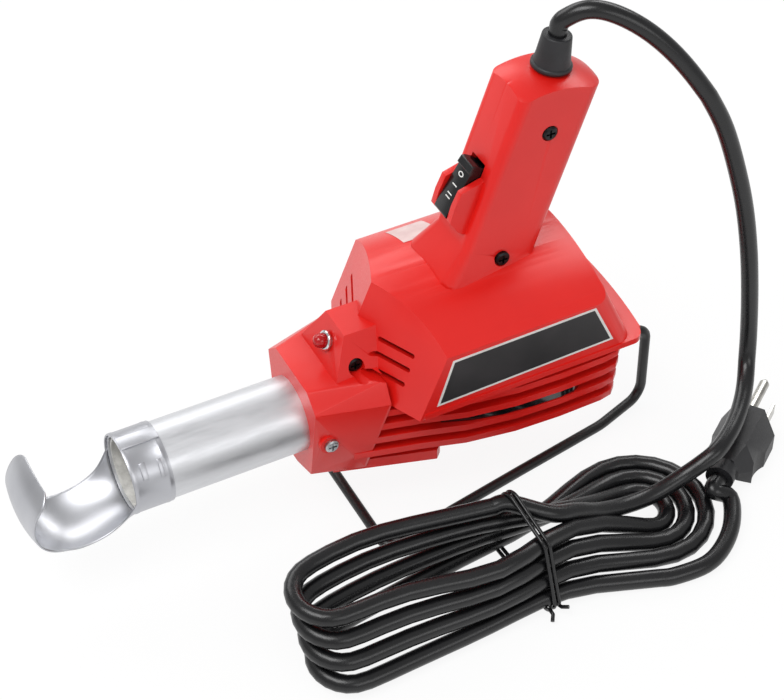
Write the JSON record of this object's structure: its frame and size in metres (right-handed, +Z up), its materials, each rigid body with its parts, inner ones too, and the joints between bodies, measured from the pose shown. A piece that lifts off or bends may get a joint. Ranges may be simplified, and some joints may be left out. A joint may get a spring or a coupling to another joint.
{
  "type": "embossing heat tool",
  "caption": "Hot air embossing tool: blower housing with raked handle, rocker switch, heater barrel with turning spoon reflector, folding wire stand and hanked mains lead.",
  "frame": {"origin": "centre of the box of tool and stand, without its lead, on the table under the stand's wire", "axes": "+X out of the barrel, +Y to the tool's left side, +Z up to the handle; as stood on its wire stand"},
  "size_m": [0.3493, 0.182, 0.2321],
  "materials": {
    "red_plastic": "satin moulded plastic",
    "dark_steel": "blackened screws",
    "bright_steel": "plain steel",
    "barrel_steel": "drawn steel sheet",
    "mica": "pale insulation",
    "coil_wire": "resistance wire and windings",
    "black_plastic": "matt moulded plastic",
    "reflector_steel": "bright sheet steel",
    "chrome": "polished",
    "lens_red": "clear red lens",
    "white_plastic": "pale moulded plastic",
    "rocker_black": "smooth with white marks",
    "cord_rubber": "satin black jacket",
    "drum_black": "glossy",
    "bronze": "plain",
    "wire_black": "black coated wire",
    "label_dark": "bare plate",
    "label_pale": "bare sticker",
    "tie_wire": "coated tie wire"
  },
  "bodies": {
    "tool": {"left_housing": "red_plastic", "right_housing": "red_plastic", "housing_screws": "dark_steel", "block_screw": "bright_steel", "barrel_tube": "barrel_steel", "barrel_clamp": "bright_steel", "heat_liner": "mica", "heater_former": "mica", "heater_coil": "coil_wire", "thermal_cutout": "black_plastic", "lamp_bezel": "chrome", "lamp_lens": "lens_red", "lamp_body": "white_plastic", "switch_body": "black_plastic", "strain_relief": "cord_rubber", "inner_lead": "cord_rubber", "cord_clamp": "black_plastic", "terminal_block": "white_plastic", "blower_drum": "drum_black", "drum_lid": "drum_black", "motor_can": "barrel_steel", "motor_cap": "white_plastic", "bearings": "bronze", "stand_bracket": "wire_black", "side_label": "label_dark", "top_sticker": "label_pale", "power_lead": "cord_rubber", "lead_hank": "cord_rubber", "plug_lead": "cord_rubber", "hank_tie": "tie_wire", "plug_body": "cord_rubber", "plug_blades": "bronze", "ground_pin": "bronze"},
    "reflector": {"reflector": "reflector_steel"},
    "rocker": {"rocker": "rocker_black"},
    "fan": {"fan_wheel": "black_plastic", "motor_shaft": "bright_steel", "rotor": "coil_wire"},
    "stand": {"stand_wire": "wire_black"}
  },
  "joints": [
    {"name": "reflector_turn", "type": "hinge", "parent": "tool", "child": "reflector", "pos_m": [0.08, 0, 0.052], "axis": [1, 0, 0], "continuous": true},
    {"name": "rocker_tilt", "type": "hinge", "parent": "tool", "child": "rocker", "pos_m": [-0.06802, 0, 0.14397], "axis": [0, 1, 0], "range_deg": [0, 25.4]},
    {"name": "fan_spin", "type": "hinge", "parent": "tool", "child": "fan", "pos_m": [-0.08132, 0, 0.052], "axis": [0, 0, 1], "continuous": true},
    {"name": "stand_fold", "type": "hinge", "parent": "tool", "child": "stand", "pos_m": [-0.13533, 0, 0.045], "axis": [0, 1, 0], "range_deg": [0, 105]}
  ]
}
